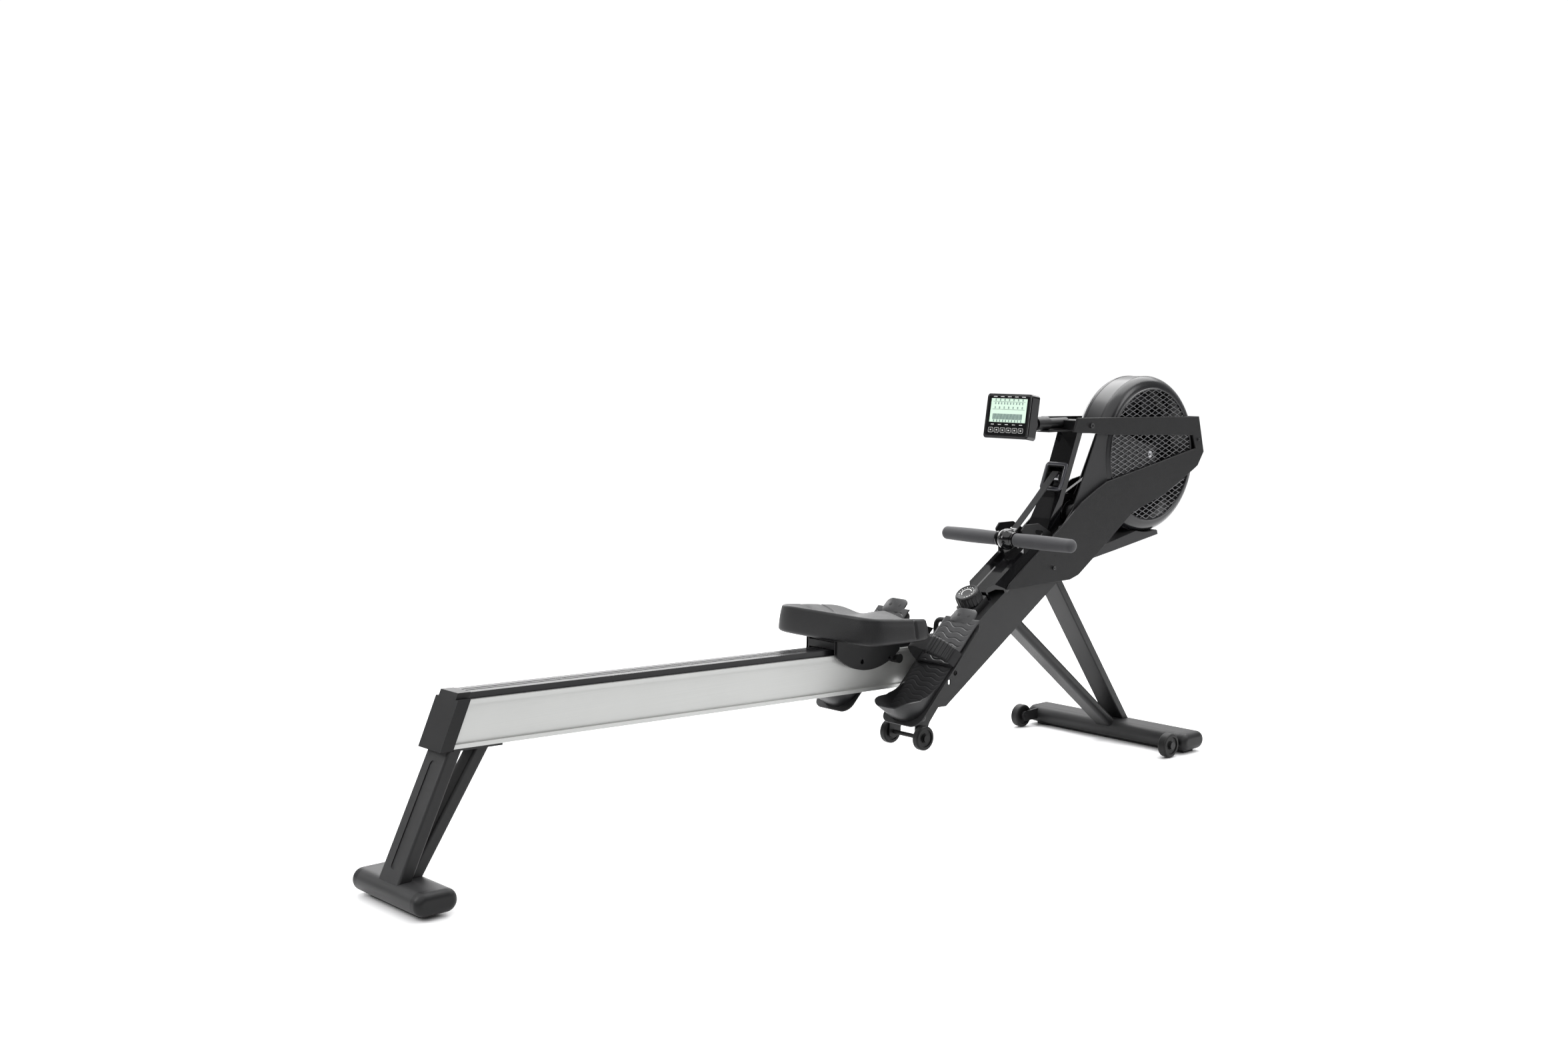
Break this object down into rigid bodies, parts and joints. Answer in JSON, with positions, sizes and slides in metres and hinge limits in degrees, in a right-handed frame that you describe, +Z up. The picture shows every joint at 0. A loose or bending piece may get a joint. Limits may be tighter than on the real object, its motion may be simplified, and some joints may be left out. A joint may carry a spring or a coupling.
{
  "type": "rowing machine",
  "caption": "Folding air and magnet rowing machine: sliding seat on an aluminium rail, sprung strap handle, footrests, console and a caged flywheel on a sloping frame.",
  "frame": {"origin": "on the floor, halfway along the machine and on its mid-plane", "axes": "+X from the rear foot towards the flywheel, +Y to the rower's left when seated, +Z up"},
  "size_m": [2.396, 0.504, 0.925],
  "materials": {
    "black_frame": "satin powder coat",
    "silver_rail": "satin anodised",
    "black_track": "satin",
    "black_plastic": "fine grain",
    "charcoal_plastic": "grained",
    "gloss_black": "polished",
    "seat_foam": "grained foam skin",
    "grip_foam": "soft foam",
    "black_rubber": "matte",
    "webbing": "woven",
    "bright_steel": "zinc plated",
    "grey_steel": "satin",
    "wheel_metal": "machined",
    "screen_steel": "perforated",
    "lcd": "clear cover over a reflective display",
    "grey_plastic": "satin"
  },
  "bodies": {
    "frame": {"main_beam": "black_frame", "frame_struts": "black_frame", "stabiliser_bar": "black_frame", "stabiliser_ends": "black_plastic", "wheel_brackets": "black_frame", "frame_bolts": "bright_steel", "foot_brackets": "black_frame", "toe_plates": "black_plastic", "foot_straps": "webbing", "trough_cover": "gloss_black", "tower_cover": "gloss_black", "handle_hooks": "grey_plastic", "shroud_left": "charcoal_plastic", "shroud_right": "charcoal_plastic", "housing_left": "gloss_black", "housing_right": "gloss_black", "grilles": "screen_steel", "flywheel_brackets": "grey_steel", "flywheel_axle": "bright_steel", "magnet_caliper": "grey_steel", "inner_belts": "webbing", "knob_base": "black_plastic", "console_arm": "black_frame"},
    "rail": {"rail_beam": "silver_rail", "rail_track": "black_track", "rail_cap": "black_plastic", "rear_legs": "black_frame", "rear_foot_ends": "black_plastic", "seat_bumpers": "black_rubber", "lift_bail": "black_frame"},
    "seat": {"seat_cushion": "seat_foam", "carriage_frame": "grey_steel", "carriage_covers": "black_plastic"},
    "top_rollers_rear": {"top_rollers_rear": "bright_steel"},
    "top_rollers_front": {"top_rollers_front": "bright_steel"},
    "guide_rollers_rear": {"guide_rollers_rear": "bright_steel"},
    "guide_rollers_front": {"guide_rollers_front": "bright_steel"},
    "handle": {"handle_core": "gloss_black", "handle_grips": "grip_foam", "handle_strap": "webbing"},
    "idler": {"idler_roller": "bright_steel"},
    "spool": {"strap_spool": "black_plastic", "drive_pulley": "black_plastic"},
    "clutch": {"clutch_pulley": "grey_steel"},
    "flywheel": {"flywheel_fan": "wheel_metal"},
    "console": {"console_case": "gloss_black", "display": "lcd"},
    "knob": {"resistance_knob": "black_plastic"},
    "heel_left": {"heel_cup_left": "charcoal_plastic"},
    "heel_right": {"heel_cup_right": "charcoal_plastic"},
    "road_wheel_left": {"transport_wheel_left": "black_rubber"},
    "road_wheel_right": {"transport_wheel_right": "black_rubber"},
    "mid_wheels": {"mid_wheels": "black_rubber"},
    "lock_pin": {"lock_pin": "black_plastic"},
    "button_1": {"button_1": "black_rubber"},
    "button_2": {"button_2": "black_rubber"},
    "button_3": {"button_3": "black_rubber"},
    "button_4": {"button_4": "black_rubber"},
    "button_5": {"button_5": "black_rubber"},
    "button_6": {"button_6": "black_rubber"}
  },
  "joints": [
    {"name": "rail_fold", "type": "hinge", "parent": "frame", "child": "rail", "pos_m": [0.256, 0, 0.281], "axis": [0, 1, 0], "range_deg": [0, 75]},
    {"name": "seat_slide", "type": "slide", "parent": "rail", "child": "seat", "axis": [-0.9995, 0, 0.0314], "range_m": [0, 0.88]},
    {"name": "top_rollers_rear_turn", "type": "hinge", "parent": "seat", "child": "top_rollers_rear", "pos_m": [-0.09429, 0, 0.35722], "axis": [0, 1, 0], "continuous": true},
    {"name": "top_rollers_front_turn", "type": "hinge", "parent": "seat", "child": "top_rollers_front", "pos_m": [0.04464, 0, 0.35286], "axis": [0, 1, 0], "continuous": true},
    {"name": "guide_rollers_rear_turn", "type": "hinge", "parent": "seat", "child": "guide_rollers_rear", "pos_m": [-0.05851, 0, 0.31798], "axis": [0, 1, 0], "continuous": true},
    {"name": "guide_rollers_front_turn", "type": "hinge", "parent": "seat", "child": "guide_rollers_front", "pos_m": [0.02145, 0, 0.31547], "axis": [0, 1, 0], "continuous": true},
    {"name": "handle_pull", "type": "slide", "parent": "frame", "child": "handle", "axis": [-0.995, 0, 0.0995], "range_m": [0, 1.1], "stiffness_N_per_m": 12, "springref_m": -1, "deforming": ["handle_strap"]},
    {"name": "idler_turn", "type": "hinge", "parent": "frame", "child": "idler", "pos_m": [0.668, 0, 0.681], "axis": [0, 1, 0], "continuous": true},
    {"name": "spool_turn", "type": "hinge", "parent": "frame", "child": "spool", "pos_m": [0.742, 0, 0.585], "axis": [0, 1, 0], "continuous": true},
    {"name": "clutch_turn", "type": "hinge", "parent": "frame", "child": "clutch", "pos_m": [0.98, 0, 0.727], "axis": [0, 1, 0], "continuous": true},
    {"name": "flywheel_spin", "type": "hinge", "parent": "frame", "child": "flywheel", "pos_m": [0.98, 0, 0.727], "axis": [0, 1, 0], "continuous": true},
    {"name": "console_tilt", "type": "hinge", "parent": "frame", "child": "console", "pos_m": [0.556, 0, 0.815], "axis": [0, 1, 0], "range_deg": [-20, 20]},
    {"name": "button_1_press", "type": "slide", "parent": "console", "child": "button_1", "axis": [0.986, 0, -0.1668], "range_m": [0, 0.0015], "stiffness_N_per_m": 500, "springref_m": -0.001},
    {"name": "button_2_press", "type": "slide", "parent": "console", "child": "button_2", "axis": [0.986, 0, -0.1668], "range_m": [0, 0.0015], "stiffness_N_per_m": 500, "springref_m": -0.001},
    {"name": "button_3_press", "type": "slide", "parent": "console", "child": "button_3", "axis": [0.986, 0, -0.1668], "range_m": [0, 0.0015], "stiffness_N_per_m": 500, "springref_m": -0.001},
    {"name": "button_4_press", "type": "slide", "parent": "console", "child": "button_4", "axis": [0.986, 0, -0.1668], "range_m": [0, 0.0015], "stiffness_N_per_m": 500, "springref_m": -0.001},
    {"name": "button_5_press", "type": "slide", "parent": "console", "child": "button_5", "axis": [0.986, 0, -0.1668], "range_m": [0, 0.0015], "stiffness_N_per_m": 500, "springref_m": -0.001},
    {"name": "button_6_press", "type": "slide", "parent": "console", "child": "button_6", "axis": [0.986, 0, -0.1668], "range_m": [0, 0.0015], "stiffness_N_per_m": 500, "springref_m": -0.001},
    {"name": "resistance_turn", "type": "hinge", "parent": "frame", "child": "knob", "pos_m": [0.36325, 0, 0.40432], "axis": [-0.5417, 0, 0.8406], "range_deg": [-135, 135]},
    {"name": "heel_left_adjust", "type": "slide", "parent": "frame", "child": "heel_left", "axis": [0.7133, 0, 0.7009], "range_m": [-0.02, 0.04]},
    {"name": "heel_right_adjust", "type": "slide", "parent": "frame", "child": "heel_right", "axis": [0.7133, 0, 0.7009], "range_m": [-0.02, 0.04]},
    {"name": "road_wheel_left_turn", "type": "hinge", "parent": "frame", "child": "road_wheel_left", "pos_m": [0.825, 0.235, 0.0305], "axis": [0, 1, 0], "continuous": true},
    {"name": "road_wheel_right_turn", "type": "hinge", "parent": "frame", "child": "road_wheel_right", "pos_m": [0.825, -0.235, 0.0305], "axis": [0, 1, 0], "continuous": true},
    {"name": "mid_wheels_turn", "type": "hinge", "parent": "frame", "child": "mid_wheels", "pos_m": [0.15, 0, 0.119], "axis": [0, 1, 0], "continuous": true},
    {"name": "lock_pin_pull", "type": "slide", "parent": "frame", "child": "lock_pin", "axis": [0, 1, 0], "range_m": [0, 0.012], "stiffness_N_per_m": 900, "springref_m": -0.004}
  ],
  "couplings": [
    {"joint": "top_rollers_rear_turn", "follows": "seat_slide", "rad_per_m": -117.65},
    {"joint": "top_rollers_front_turn", "follows": "seat_slide", "rad_per_m": -117.65},
    {"joint": "guide_rollers_rear_turn", "follows": "seat_slide", "rad_per_m": 111.11},
    {"joint": "guide_rollers_front_turn", "follows": "seat_slide", "rad_per_m": 111.11},
    {"joint": "idler_turn", "follows": "handle_pull", "rad_per_m": -111.11},
    {"joint": "spool_turn", "follows": "handle_pull", "rad_per_m": 36.232},
    {"joint": "clutch_turn", "follows": "handle_pull", "rad_per_m": 109.96}
  ]
}
